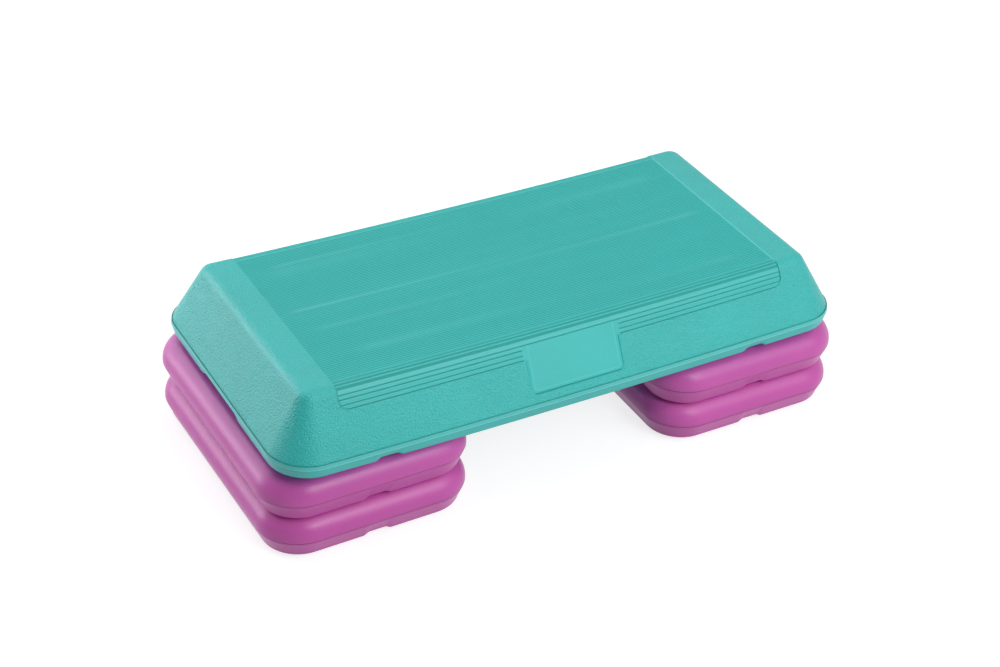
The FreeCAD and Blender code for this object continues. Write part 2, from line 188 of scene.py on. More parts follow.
# The round cups in a riser's crown
CUP_RADIUS = 0.02314
CUP_DEPTH = 0.0037
CUP_EDGE = 0.0006
CUP_X = 0.07141
CUP_Y = 0.12366

# Angles and lengths of the slopes' section
SIDE_ANGLE = math.atan2(SLOPE_HEIGHT, SIDE_SLOPE_RUN)
END_ANGLE = math.atan2(SLOPE_HEIGHT, END_SLOPE_RUN)
SIDE_TANGENT = TOP_EDGE_RADIUS * math.tan(SIDE_ANGLE / 2)
END_TANGENT = TOP_EDGE_RADIUS * math.tan(END_ANGLE / 2)
EDGE_ARC = TOP_EDGE_RADIUS * SIDE_ANGLE
LEVEL_HALF_WIDTH = HALF_WIDTH - LEDGE_WIDTH - SIDE_SLOPE_RUN - SIDE_TANGENT
LEVEL_HALF_LENGTH = HALF_LENGTH - LEDGE_WIDTH - END_SLOPE_RUN - END_TANGENT
FACE_LENGTH = EDGE_ARC + math.hypot(SLOPE_HEIGHT, SIDE_SLOPE_RUN) - SIDE_TANGENT
RIB_PITCH = 2 * (LEVEL_HALF_WIDTH + TREAD_END) / RIB_COUNT

# Mesh spacing, with the straight part of each outline that takes even lines
LINE_STEP = 0.008
FINE_STEP = 0.0008
STRAIGHT_X = 0.300
STRAIGHT_Y = 0.125
RISER_STRAIGHT_X = 0.070
RISER_STRAIGHT_Y = 0.120
# Steps round the corners, down a notch's ramp and over each rounded edge
ARC_STEPS = 24
NOTCH_RAMP_STEPS = 6
TOP_EDGE_STEPS = 10
RIM_EDGE_STEPS = 5
RIM_FOOT_STEPS = 6
RISER_FOOT_STEPS = 7
DOME_STEPS = 16
CUP_EDGE_STEPS = 3
# Rings on the rim's lower band and on a riser's skirt, as shares of the way down from the parting line
RIM_BAND_SHARES = (0.08, 0.2, 0.4, 0.6, 0.8, 1.0)
SKIRT_SHARES = (0.85, 0.65, 0.45, 0.25)
# Lines inside each edge of a bar, as shares of its shoulder
BAR_LINE_SHARES = (0.0, 0.5, 1.0, 2.5)
# Lines closer than the first are taken as one, and points closer than the second are joined
MERGE_GAP = 0.00015
WELD_GAP = MERGE_GAP / 100

# The plastics: noise for their clouds and for the streaks along a piece, and the plain colours' places in it
CLOUD_NOISE = {"Scale": 9.0, "Detail": 3.0, "Roughness": 0.55}
FLOW_NOISE = {"Scale": 1.0, "Detail": 2.0}
FLOW_STRETCH = (2.0, 40.0, 40.0)
PLAIN_PLACES = (0.3, 0.5, 0.7)
# The pebbled skin: its finer detail, that detail's share, and the depths between which its pits darken
PEBBLE_DETAIL = 4.0
PEBBLE_FINE_SHARE = 0.5
PIT_SHADE_FROM = 0.3
PIT_SHADE_TO = 0.6
# How much of the pebbled grain is left on the smooth faces
SMOOTH_GRAIN = 0.15
# How far the roughness varies, and how much rougher the darkest crevices are
ROUGHNESS_SPREAD = 0.06
GROOVE_DULLNESS = 0.4
PLASTIC_IOR = 1.5

# The rubber: its dust, with places and colours, and its fine grain
DUST_NOISE = {"Scale": 160.0, "Detail": 6.0}
DUST_COLOURS = ((0.35, (22, 22, 23)), (0.7, (46, 46, 47)))
RUBBER_GRAIN = {"Scale": 1500.0, "Detail": 3.0}
RUBBER_GRAIN_HEIGHT = 0.0002
RUBBER_ROUGHNESS = (0.7, 0.9)

# The photograph's camera, with its angles in degrees and its lens and sensor in millimetres
CAMERA_TURN = -30.05
CAMERA_RISE = 34.26
CAMERA_ROLL = 2.47
CAMERA_AIM = (-0.00427, 0.0, 0.09928)
CAMERA_DISTANCE = 2.39352
CAMERA_LENS = 72.56
CAMERA_SENSOR = 36.0

# The lamps' places, sizes and powers, the point they face, and the ones on the left that are a little cooler
LAMPS = {
    "back_left": ((-1.3, 1.6, 1.0), 1.8, 17.0),
    "low_left": ((-1.7, 1.3, 0.5), 1.0, 13.5),
    "edge_left": ((-1.0, 1.9, 1.3), 0.8, 4.5),
    "top": ((0.0, 0.2, 2.6), 2.4, 28.0),
    "back_right": ((1.3, 2.2, 1.7), 1.6, 3.0),
    "back": ((-0.3, 2.2, 1.8), 1.6, 5.0),
    "low_front": ((1.0, -2.5, 1.1), 1.8, 6.0),
    "front": ((1.1, -2.1, 2.0), 2.4, 46.0),
    "key": ((0.35, -2.15, 1.75), 0.7, 15.0),
}
LAMP_AIM = (0.0, 0.0, 0.1)
COOL_LAMPS = ("back_left", "low_left", "edge_left")
COOL_LIGHT = (0.95, 0.96, 1.0)

# The floor: how much light it returns to the object, and the part of its seen white that shadows darken
FLOOR_HALF_WIDTH = 6.0
FLOOR_RETURN = 0.70
FLOOR_ROUGHNESS = 0.9
FLOOR_SHADOW = 0.38
# Its glow, which rises to the backdrop's white between two distances from the object, where the lamps fade
FLOOR_GLOW = 0.78
BACKDROP_GLOW = 1.0
FLOOR_FADE_START = 1.2
FLOOR_FADE_END = 3.0
# The sky is only seen: the lamps give all the light
SKY_STRENGTH = 0.0
WHITE = (1.0, 1.0, 1.0, 1.0)


def smooth(value):
    """A soft step from 0 to 1."""
    value = np.clip(value, 0.0, 1.0)
    return value * value * (3 - 2 * value)


def spread(low, high, step):
    """Evenly spaced lines from low to high, no further apart than the step."""
    return np.linspace(low, high, max(2, math.ceil((high - low) / step) + 1))


def merged(*groups):
    """Sorted lines from several groups, without ones that nearly coincide."""
    kept = []
    for value in sorted(np.concatenate(groups)):
        if not kept or value - kept[-1] > MERGE_GAP:
            kept.append(value)
    return np.array(kept)


def quarter_turn(steps):
    """Angles from nothing to a right angle, in even steps."""
    return [step / steps * math.pi / 2 for step in range(steps + 1)]


def soft_line(offset, half_width):
    """Strength of a soft line at an offset from its middle."""
    return np.exp(-(offset / half_width) ** 2)


class Outline:
    """Stations round a rounded rectangle, in the same places on every ring of a moulding."""

    def __init__(self, lines_x, lines_y):
        rows = []
        self.sides = {}
        for index, (side, normal) in enumerate(
                (("front", (0, -1)), ("right", (1, 0)), ("back", (0, 1)), ("left", (-1, 0)))):
            along_x = normal[0] == 0
            lines = lines_x if along_x else lines_y
            forward = 1 if side in ("front", "right") else -1
            first = len(rows)
            stops = [(-forward, 0.0)] + [(0, value) for value in lines[::forward]] + [(forward, 0.0)]
            for corner, value in stops:
                if along_x:
                    rows.append((corner, normal[1], value, 0.0, *normal))
                else:
                    rows.append((normal[0], corner, 0.0, value, *normal))
            self.sides[side] = (first, len(rows))
            start = (index - 1) * math.pi / 2
            corner_x, corner_y = ((1, -1), (1, 1), (-1, 1), (-1, -1))[index]
            for step in range(1, ARC_STEPS):
                angle = start + step / ARC_STEPS * math.pi / 2
                rows.append((corner_x, corner_y, 0.0, 0.0, math.cos(angle), math.sin(angle)))
        table = np.array(rows)
        self.corner_x, self.corner_y, self.line_x, self.line_y, self.normal_x, self.normal_y = table.T
        self.count = len(rows)

    def ring(self, half_x, half_y, radius, z_side, z_end=None):
        """One ring of points, with its height easing from the long sides to the ends."""
        z_end = z_side if z_end is None else z_end
        x = self.corner_x * (half_x - radius) + self.line_x + radius * self.normal_x
        y = self.corner_y * (half_y - radius) + self.line_y + radius * self.normal_y
        z = z_side + (z_end - z_side) * self.normal_x ** 2
        return np.stack([x, y, z], axis=1)


def ring_faces(first, second, count):
    """Quads between two rings, from their first vertices, outward when the second is higher."""
    here = np.arange(count)
    after = (here + 1) % count
    return np.stack([first + here, first + after, second + after, second + here], axis=1)


def notch_lift(along, centre, notch):
    """How far a notch lifts a lower edge."""
    outside = np.abs(along - centre) - (notch["width"] / 2 - notch["ramp"])
    return notch["height"] * (1 - smooth(outside / notch["ramp"]))


def notch_lines(centre, notch):
    """Lines that follow a notch's ramps."""
    half = notch["width"] / 2
    ramp = spread(half - notch["ramp"], half, notch["ramp"] / NOTCH_RAMP_STEPS)
    return np.concatenate([centre - ramp, centre + ramp])


def new_object(name, vertices, faces, body, material, replaced, marks):
    """A mesh piece that stands for a node of the frame, with a value at each point for every mark."""
    mesh = bpy.data.meshes.new(name)
    mesh.from_pydata(np.asarray(vertices).tolist(), [], [list(map(int, face)) for face in faces])
    for mark, values in marks.items():
        layer = mesh.attributes.new(mark, "FLOAT", "POINT")
        layer.data.foreach_set("value", np.asarray(values, dtype=np.float32))
    mesh.validate()
    mesh.update()
    mesh.shade_smooth()
    mesh.materials.append(material)
    item = bpy.data.objects.new(name, mesh)
    bpy.context.scene.collection.objects.link(item)
    weighted = item.modifiers.new("even_normals", "WEIGHTED_NORMAL")
    weighted.keep_sharp = True
    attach(item, body)
    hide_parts(replaced)
    return item


def rounded_distance(beyond_x, beyond_down, radius):
    """Signed distance to a rounded outline, from how far points lie beyond the centres of its corners."""
    outside = np.hypot(np.maximum(beyond_x, 0), np.maximum(beyond_down, 0))
    return outside + np.minimum(np.maximum(beyond_x, beyond_down), 0) - radius


def field_distance(x, down):
    """Signed distance to the grip field's outline, from along the platform and down its face."""
    beyond_x = np.abs(x) - (FIELD_HALF_LENGTH - FIELD_CORNER_RADIUS)
    beyond_down = down - (FIELD_FOOT - FIELD_CORNER_RADIUS)
    return rounded_distance(beyond_x, beyond_down, FIELD_CORNER_RADIUS)


def badge_distance(x, down, head=BADGE_HEAD):
    """Signed distance to the badge plate's outline, which is square at its head."""
    middle = (head + BADGE_FOOT) / 2
    radius = np.where(down > middle, BADGE_CORNER_RADIUS, FIELD_WALL)
    beyond_x = np.abs(x) - (BADGE_HALF_LENGTH - radius)
    beyond_down = np.abs(down - middle) - ((BADGE_FOOT - head) / 2 - radius)
    return rounded_distance(beyond_x, beyond_down, radius)


def tread_rib(y):
    """Height of the tread's ribs above the field's floor."""
    phase = np.mod(y / RIB_PITCH, 1.0)
    return RIB_HEIGHT * np.interp(phase, RIB_PHASE_SHARES + (1.0,), RIB_HEIGHT_SHARES + (0.0,))


def rib_turns(first, last):
    """Places across the tread where the section of its ribs turns, from the first rib to before the last."""
    return RIB_PITCH * (np.arange(first, last)[:, None] + np.array(RIB_PHASE_SHARES)[None, :]).ravel()


def rib_share(distance):
    """How much of a rib is left near the ends of the field."""
    return smooth((-distance - FIELD_WALL) / RIB_END)


def near_badge(x, down):
    """Where the plain face round the badge takes the place of the bars."""
    return (np.abs(x) < BADGE_HALF_LENGTH + BADGE_CLEARANCE) & (down > EDGE_BARS[2][0])


def edge_bars(x, down):
    """How fully the bars along a long edge stand above the grooves round them, from 0 to 1."""
    bars = np.zeros_like(down)
    for head, foot in EDGE_BARS:
        inside = np.minimum(down - head, foot - down)
        bars = np.maximum(bars, smooth(inside / EDGE_BAR_SHOULDER))
    bars *= smooth((-field_distance(x, down) - FIELD_WALL) / EDGE_BAR_SHOULDER)
    return bars


def foot_line(down, foot):
    """Strength of the painted shade line at the foot of a recess's lower wall."""
    return soft_line(down - foot + FIELD_WALL, FOOT_LINE)


def relief(x, down):
    """How far the moulded detail stands off the platform's plain face, its painted shade and its painted highlights.
    """
    distance = field_distance(x, down)
    badge = badge_distance(x, down)
    field = smooth(-np.minimum(distance, badge) / FIELD_WALL)
    rib = tread_rib(LEVEL_HALF_WIDTH + down) * rib_share(distance)
    on_badge = (badge < 0) | near_badge(x, down)
    bars = np.where(on_badge, 1.0, edge_bars(x, down))
    on_tread = down < TREAD_END
    groove = (GROOVE_DEPTH - EDGE_BAR_SETBACK) * (1 - bars)
    moat = BADGE_MOAT * smooth(1 - np.abs(badge + BADGE_MOAT_WIDTH) / BADGE_MOAT_WIDTH) * (distance > 0)
    stand = field * np.where(on_tread, rib - FIELD_DEPTH, -EDGE_BAR_SETBACK - groove - moat)
    groove_shade = np.where(down < EDGE_BARS[1][0], CHANNEL_SHADE, GROOVE_SHADE) * (1 - bars)
    groove_shade += np.where(on_badge, 0.0, BAR_SHADE * bars)
    foot_shade = np.where(on_badge, 0.0, FOOT_SHADE) * foot_line(down, FIELD_FOOT)
    badge_shade = np.where(badge < 0, BADGE_FOOT_SHADE, 0.0) * foot_line(down, BADGE_FOOT)
    groove_shade = np.maximum(groove_shade, np.maximum(foot_shade, badge_shade))
    shade = field * np.where(on_tread, TREAD_SHADE * (1 - rib / RIB_HEIGHT) * rib_share(distance), groove_shade)
    painted_highlights = sum(strength * soft_line(down - place, half_width) for place, half_width, strength in EDGE_HIGHLIGHT_LINES)
    # the border's painted highlight runs up both sides of the badge but not along its head
    open_badge = badge_distance(x, down, head=0.0)
    border = BADGE_BORDER_HIGHLIGHT * soft_line(open_badge + BADGE_BORDER, BADGE_BORDER_WIDTH)
    return stand, shade, field * np.where(on_badge, border, painted_highlights)


def sink_marks(x, y):
    """Strength of the painted highlight streaks for the faint lengthwise sink marks on the tread."""
    strength = np.zeros_like(x)
    for centre, strong, faint, half_width, amount in SINK_MARKS:
        along = (x - strong) / (faint - strong)
        fade = smooth(along * abs(faint - strong) / SINK_START) * np.clip(1 - along, 0.0, 1.0)
        strength += amount * fade * soft_line(y - centre, half_width)
    return strength


def plain_face_ring(outline, down):
    """A plain ring on the platform's rounded top edge or slopes, from its distance down the long face."""
    foot_x = HALF_LENGTH - LEDGE_WIDTH
    foot_y = HALF_WIDTH - LEDGE_WIDTH
    head_x = foot_x - END_SLOPE_RUN
    head_y = foot_y - SIDE_SLOPE_RUN
    if down <= EDGE_ARC:
        side_turn = SIDE_ANGLE * down / EDGE_ARC
        end_turn = END_ANGLE * down / EDGE_ARC
        in_x = END_TANGENT - TOP_EDGE_RADIUS * math.sin(end_turn)
        in_y = SIDE_TANGENT - TOP_EDGE_RADIUS * math.sin(side_turn)
        z_side = TOP - TOP_EDGE_RADIUS * (1 - math.cos(side_turn))
        z_end = TOP - TOP_EDGE_RADIUS * (1 - math.cos(end_turn))
        radius = TOP_CORNER_RADIUS - (in_x + in_y) / 2
        return outline.ring(head_x - in_x, head_y - in_y, radius, z_side, z_end)
    share = (down - EDGE_ARC) / (FACE_LENGTH - EDGE_ARC)
    side_start = SIDE_TANGENT * math.sin(SIDE_ANGLE) / SLOPE_HEIGHT
    end_start = END_TANGENT * math.sin(END_ANGLE) / SLOPE_HEIGHT
    side_fall = side_start + (1 - side_start) * share
    end_fall = end_start + (1 - end_start) * share
    fall = (side_fall + end_fall) / 2
    radius = TOP_CORNER_RADIUS + (RIM_CORNER_RADIUS - LEDGE_WIDTH - TOP_CORNER_RADIUS) * fall
    return outline.ring(head_x + END_SLOPE_RUN * end_fall, head_y + SIDE_SLOPE_RUN * side_fall, radius,
                        TOP - SLOPE_HEIGHT * side_fall, TOP - SLOPE_HEIGHT * end_fall)


def platform_face_ring(outline, down):
    """A ring down the platform's faces with its moulded detail, its painted shade and its painted highlights."""
    ring = plain_face_ring(outline, down)
    turn = min(SIDE_ANGLE, SIDE_ANGLE * down / EDGE_ARC)
    groove = np.zeros(outline.count)
    painted_highlights = np.zeros(outline.count)
    for side, outward, clarity in (("front", -1, 1.0), ("back", 1, BACK_CLARITY)):
        first, last = outline.sides[side]
        stand, shade, painted_light = relief(ring[first:last, 0], np.full(last - first, down))
        groove[first:last] = clarity * shade
        painted_highlights[first:last] = clarity * painted_light
        ring[first:last, 1] += outward * math.sin(turn) * stand
        ring[first:last, 2] += math.cos(turn) * stand
    groove += SLOPE_FOOT_SHADE * soft_line(FACE_LENGTH - down, SLOPE_FOOT_LINE)
    # the painted highlight on the left end's rounded edge
    first, last = outline.sides["left"]
    across = np.abs(ring[first:last, 1])
    fade = np.clip((across.max() - across) / END_EDGE_FADE, 0, 1)
    painted_highlights[first:last] += END_EDGE_HIGHLIGHT * fade * soft_line(down / EDGE_ARC - END_EDGE_PLACE, END_EDGE_WIDTH)
    return ring, groove, painted_highlights


def lip_rings(outline):
    """Rings from the ledge down the rim, under it and down the plinth, with the notches cut in."""
    rings = []
    painted_shades = []
    painted_highlights = []
    base_radius = RIM_CORNER_RADIUS

    def add(inset, z, notched=False, fade=0.0, groove=0.0, painted_light=0.0):
        """One ring at an inset from the rim, lifted by the notches, whole or fading, with its painted shade and
        painted highlight.
        """
        ring = outline.ring(HALF_LENGTH - inset, HALF_WIDTH - inset, max(base_radius - inset, MIN_CORNER_RADIUS), z)
        if notched or fade:
            lift = np.zeros(outline.count)
            for side in ("front", "back"):
                first, last = outline.sides[side]
                for centre in (-LIP_NOTCH_X, LIP_NOTCH_X):
                    lift[first:last] += notch_lift(ring[first:last, 0], centre, LIP_NOTCH)
            first, last = outline.sides["front"]
            lift[first:last] += notch_lift(ring[first:last, 0], LIP_NUB_X, LIP_NUB)
            for side in ("left", "right"):
                first, last = outline.sides[side]
                lift[first:last] += notch_lift(ring[first:last, 1], 0.0, HAND_NOTCH)
            ring[:, 2] += lift * (fade or 1.0)
        rings.append(ring)
        painted_shades.append(np.full(outline.count, groove))
        painted_highlights.append(np.full(outline.count, painted_light))

    # ledge with a fine groove at the foot of the slope, with painted shade in it
    add(LEDGE_WIDTH, LEDGE_HEIGHT - LEDGE_GROOVE_DEPTH, groove=LEDGE_SHADE)
    add(LEDGE_WIDTH - LEDGE_GROOVE, LEDGE_HEIGHT - LEDGE_GROOVE_DEPTH, groove=LEDGE_SHADE)
    for angle in quarter_turn(RIM_EDGE_STEPS):
        add(PARTING_BEAD + LIP_EDGE_RUN * (1 - math.sin(angle)),
            LEDGE_HEIGHT - LIP_EDGE_DROP * (1 - math.cos(angle)), painted_light=RIM_HIGHLIGHT)
    # upper band, parting bead with a fine line under it, and drafted lower band; the bands and bead carry painted
    # highlights and the line painted shade
    parting = LIP_BOTTOM + LIP_PARTING
    add(PARTING_BEAD, (LEDGE_HEIGHT + parting) / 2, painted_light=RIM_HIGHLIGHT)
    add(PARTING_BEAD, parting + PARTING_LINE + PARTING_BEAD_WIDTH, painted_light=RIM_HIGHLIGHT)
    add(0.0, parting + PARTING_LINE + PARTING_BEAD_WIDTH / 2, painted_light=BEAD_HIGHLIGHT)
    add(0.0, parting + PARTING_LINE, painted_light=BEAD_HIGHLIGHT)
    add(PARTING_BEAD, parting + PARTING_LINE / 2, groove=PARTING_SHADE)
    add(PARTING_BEAD / 2, parting)
    lower = LIP_PARTING - LIP_ROUND
    for share in RIM_BAND_SHARES:
        add(PARTING_BEAD / 2 + LIP_DRAFT * share, parting - lower * share, fade=share, painted_light=LOWER_RIM_HIGHLIGHT)
    for angle in quarter_turn(RIM_FOOT_STEPS)[1:]:
        add(PARTING_BEAD / 2 + LIP_DRAFT + LIP_ROUND * (1 - math.cos(angle)),
            LIP_BOTTOM + LIP_ROUND * (1 - math.sin(angle)), notched=True)
    # the rim's underside, where the notches end, and the plinth below it
    add(NOTCH_REACH, LIP_BOTTOM, notched=True)
    add(NOTCH_REACH + NOTCH_BACK, LIP_BOTTOM)
    add(PLINTH_INSET - NOTCH_BACK, LIP_BOTTOM)
    base_radius = PLINTH_CORNER_RADIUS + PLINTH_INSET
    add(PLINTH_INSET, LIP_BOTTOM - NOTCH_BACK)
    for angle in quarter_turn(RIM_EDGE_STEPS):
        add(PLINTH_INSET + PLINTH_EDGE_RADIUS * (1 - math.cos(angle)),
            PLINTH_BOTTOM + PLINTH_EDGE_RADIUS * (1 - math.sin(angle)))
    return rings, painted_shades, painted_highlights


def sagged(points):
    """The platform's points, let down between its ends, with its flat foot left level."""
    free = np.clip((points[:, 2] - PLINTH_BOTTOM) / PLINTH_HEIGHT, 0.0, 1.0)
    points[:, 2] -= PLATFORM_SAG * free * (1 - (points[:, 0] / HALF_LENGTH) ** 2)
    return points


def platform_lines():
    """Lines along and across the platform that its rings and its level top share."""
    field_lines = spread(FIELD_HALF_LENGTH - FIELD_CORNER_RADIUS, FIELD_HALF_LENGTH + FINE_STEP, FINE_STEP)
    badge_lines = spread(BADGE_HALF_LENGTH - BADGE_CORNER_RADIUS,
                         BADGE_HALF_LENGTH + BADGE_CLEARANCE + FINE_STEP, FINE_STEP)
    lip_lines = notch_lines(LIP_NOTCH_X, LIP_NOTCH)
    nub_lines = notch_lines(LIP_NUB_X, LIP_NUB)
    end_lines = spread(FIELD_HALF_LENGTH - FIELD_WALL - RIB_END, FIELD_HALF_LENGTH, FIELD_WALL / 3)
    lines_x = merged(spread(-STRAIGHT_X, STRAIGHT_X, LINE_STEP), field_lines, -field_lines, badge_lines,
                     -badge_lines, lip_lines, -lip_lines, nub_lines, end_lines, -end_lines)
    lines_y = merged(spread(-STRAIGHT_Y, STRAIGHT_Y, LINE_STEP), notch_lines(0.0, HAND_NOTCH))
    return lines_x, lines_y


def face_downs():
    """Distances of the rings down the long face."""
    # the first two ribs from the edge of the level top
    rib_lines = rib_turns(0, 2) - np.mod(LEVEL_HALF_WIDTH, RIB_PITCH)
    rib_lines = rib_lines[(rib_lines > MERGE_GAP) & (rib_lines < TREAD_END)]
    steps = EDGE_BAR_SHOULDER * np.array(BAR_LINE_SHARES)
    bar_lines = np.concatenate([part for head, foot in EDGE_BARS for part in (head + steps, foot - steps)])
    band_lines = spread(*EDGE_BARS[1], FINE_STEP)
    corner_lines = spread(FIELD_FOOT - FIELD_CORNER_RADIUS, FIELD_FOOT + FIELD_WALL, FINE_STEP)
    foot_lines = spread(BADGE_FOOT - BADGE_CORNER_RADIUS, BADGE_FOOT + FINE_STEP, FINE_STEP / 2)
    return merged([0.0], rib_lines, [TREAD_END], bar_lines, band_lines, corner_lines, foot_lines,
                  spread(0.0, EDGE_ARC, EDGE_ARC / TOP_EDGE_STEPS), spread(EDGE_ARC, FACE_LENGTH, LINE_STEP),
                  spread(FACE_LENGTH - 2 * SLOPE_FOOT_LINE, FACE_LENGTH, SLOPE_FOOT_LINE / 2))


def build_platform(material, tread_material):
    """The platform: ribbed tread, plain end strips, slopes with edge bars and badges, rim and plinth."""
    lines_x, lines_y = platform_lines()
    outline = Outline(lines_x, lines_y)

    # rings down the outside
    downs = face_downs()
    face_rings, face_painted_shades, face_painted_light = zip(*(platform_face_ring(outline, down) for down in downs))
    under_rings, under_painted_shades, under_painted_light = lip_rings(outline)
    rings = [*face_rings, *under_rings]
    faces = []
    for index in range(len(rings) - 1):
        faces.extend(ring_faces((index + 1) * outline.count, index * outline.count, outline.count))
    points = list(rings)
    total = len(rings) * outline.count
    face_x = np.concatenate(face_rings)[:, 0]
    face_down = np.repeat(downs, outline.count)
    on_long_side = np.tile(np.abs(outline.normal_y) == 1, len(downs))
    in_field = field_distance(face_x, face_down) < 0
    on_badge = badge_distance(face_x, face_down) < 0
    smooth_face = (in_field | on_badge) & on_long_side
    rim_size = len(under_rings) * outline.count
    marks = {
        "grain": [np.where(smooth_face, SMOOTH_GRAIN, 1.0), np.full(rim_size, SMOOTH_GRAIN)],
        "painted_shade": [*face_painted_shades, *under_painted_shades],
        "painted_highlight": [*face_painted_light, *under_painted_light],
    }
    bottom_ring = (len(rings) - 1) * outline.count
    faces.append(list(range(bottom_ring + outline.count - 1, bottom_ring - 1, -1)))

    # the level top: fine rows on the ribbed field, joined to coarse rows on the end strips
    corner = TOP_CORNER_RADIUS - (END_TANGENT + SIDE_TANGENT) / 2
    inner_x = LEVEL_HALF_LENGTH - corner
    inner_y = LEVEL_HALF_WIDTH - corner
    columns = np.concatenate([[-inner_x], lines_x, [inner_x]])
    coarse_rows = np.concatenate([[-inner_y], lines_y, [inner_y]])
    seam = FIELD_HALF_LENGTH + FINE_STEP / 2
    ribbed = [index for index, x in enumerate(columns) if abs(x) <= seam]
    rib_rows = rib_turns(-RIB_COUNT // 2 - 1, RIB_COUNT // 2 + 1)
    fine_rows = merged([-inner_y, inner_y], rib_rows[np.abs(rib_rows) < inner_y - MERGE_GAP])

    def add_grid(xs, ys, ribs):
        """A grid of level points, returning the number of each by column and row."""
        nonlocal total
        grid_x, grid_y = np.meshgrid(xs, ys, indexing="ij")
        distance = field_distance(grid_x, np.zeros_like(grid_x))
        field = smooth(-distance / FIELD_WALL)
        rib = tread_rib(grid_y) * rib_share(distance)
        stand = field * (rib - FIELD_DEPTH) if ribs else np.zeros_like(grid_x)
        points.append(np.stack([grid_x.ravel(), grid_y.ravel(), (TOP + stand).ravel()], axis=1))
        tread = field if ribs else np.zeros_like(grid_x)
        marks["grain"].append(1 - (1 - SMOOTH_GRAIN) * tread.ravel())
        # painted shade in the rib valleys; painted highlights on the crests, along the sink marks and on the wall at
        # the field's right end
        crest = rib / RIB_HEIGHT
        marks["painted_shade"].append((tread * TREAD_SHADE * (1 - crest) * rib_share(distance)).ravel())
        wall = END_WALL_HIGHLIGHT * soft_line(distance + FIELD_WALL / 2, END_LINE) * (ribs & (grid_x > 0))
        marks["painted_highlight"].append((wall + tread * (sink_marks(grid_x, grid_y) + TREAD_CREST_HIGHLIGHT * crest)).ravel())
        numbers = total + np.arange(grid_x.size).reshape(grid_x.shape)
        total += grid_x.size
        quads = np.stack([numbers[:-1, :-1], numbers[1:, :-1], numbers[1:, 1:], numbers[:-1, 1:]], axis=-1)
        faces.extend(quads.reshape(-1, 4))
        return numbers

    def stitch(left, left_rows, right, right_rows):
        """Triangles between two columns of different spacing."""
        i = j = 0
        while i < len(left) - 1 or j < len(right) - 1:
            step_left = j == len(right) - 1 or (i < len(left) - 1 and left_rows[i + 1] <= right_rows[j + 1])
            if step_left:
                faces.append((left[i], right[j], left[i + 1]))
                i += 1
            else:
                faces.append((left[i], right[j], right[j + 1]))
                j += 1

    first_tread = len(faces)
    middle = add_grid(columns[ribbed], fine_rows, ribs=True)
    last_tread = len(faces)
    left_strip = add_grid(columns[:ribbed[0]], coarse_rows, ribs=False)
    right_strip = add_grid(columns[ribbed[-1] + 1:], coarse_rows, ribs=False)
    stitch(left_strip[-1], coarse_rows, middle[0], fine_rows)
    stitch(middle[-1], fine_rows, right_strip[0], coarse_rows)

    # join the level top to the first ring
    front_row = np.concatenate([left_strip[:, 0], middle[:, 0], right_strip[:, 0]])
    back_row = np.concatenate([left_strip[:, -1], middle[:, -1], right_strip[:, -1]])
    edges = {"front": front_row, "right": right_strip[-1], "back": back_row[::-1], "left": left_strip[0][::-1]}
    for side, row in edges.items():
        first, last = outline.sides[side]
        ring = np.arange(first, last)
        faces.extend(np.stack([ring[:-1], ring[1:], row[1:], row[:-1]], axis=1))
        arc = np.append(np.arange(last - 1, last - 1 + ARC_STEPS), (last - 1 + ARC_STEPS) % outline.count)
        faces.extend((one, two, row[-1]) for one, two in zip(arc[:-1], arc[1:]))
    vertices = sagged(np.concatenate(points))
    item = new_object("platform_moulding", vertices, faces, "platform", material, "platform",
                      {mark: np.concatenate(values) for mark, values in marks.items()})
    item.data.materials.append(tread_material)
    finish = np.zeros(len(item.data.polygons), dtype=np.int32)
    finish[first_tread:last_tread] = 1
    item.data.polygons.foreach_set("material_index", finish)


def riser_profile():
    """Inset, height, notch share and groove of each ring of a riser, from its underside up to its crown."""
    levels = [(RISER_DRAFT + NOTCH_REACH + NOTCH_BACK, 0.0, 0.0, 0.0),
              (RISER_DRAFT + NOTCH_REACH, 0.0, 1.0, 0.0)]
    for angle in quarter_turn(RISER_FOOT_STEPS):
        levels.append((RISER_DRAFT + RISER_BOTTOM_RADIUS * (1 - math.sin(angle)),
                       RISER_BOTTOM_RADIUS * (1 - math.cos(angle)), 1.0, 0.0))
    skirt = RISER_PARTING - RISER_BOTTOM_RADIUS

    def skirt_level(z, sunk=0.0):
        """A ring on the drafted skirt, sunk by a share of the parting groove's depth."""
        share = (RISER_PARTING - z) / skirt
        levels.append((RISER_DRAFT * share + RISER_GROOVE * sunk, z, share, sunk))

    for share in SKIRT_SHARES:
        skirt_level(RISER_PARTING - skirt * share)
    # the bead and then the groove, each from the foot of its section to the head
    for line, sunk in ((RISER_PARTING - RISER_BEAD_DROP, RISER_BEAD_SHARE), (RISER_PARTING, 1.0)):
        for below, depth in ((1.0, 0.0), (0.75, sunk), (0.25, sunk), (0.0, 0.0)):
            skirt_level(line - RISER_GROOVE_WIDTH * below, depth)
    dome_start = RISER_HEIGHT - RISER_DOME_RADIUS
    for angle in quarter_turn(DOME_STEPS):
        levels.append((RISER_DOME_RADIUS * (1 - math.cos(angle)),
                       dome_start + RISER_DOME_RADIUS * math.sin(angle), 0.0, 0.0))
    return levels


def flat_face(boundary, holes, z):
    """A level face with round holes in it: its points, its triangles and the inputs each point came from."""
    loops = [boundary] + holes
    points = [Vector(point[:2]) for loop in loops for point in loop]
    edges = []
    start = 0
    for loop in loops:
        edges += [(start + index, start + (index + 1) % len(loop)) for index in range(len(loop))]
        start += len(loop)
    made, _, triangles, origins, _, _ = delaunay_2d_cdt(points, edges, [], 1, WELD_GAP)
    centres = [np.mean(hole, axis=0)[:2] for hole in holes]
    kept = []
    for triangle in triangles:
        middle = np.mean([made[index][:] for index in triangle], axis=0)
        if all(np.hypot(*(middle - centre)) > np.hypot(*(hole[0][:2] - centre)) * math.cos(math.pi / len(hole))
               for centre, hole in zip(centres, holes)):
            kept.append(triangle)
    return [(point[0], point[1], z) for point in made], kept, origins


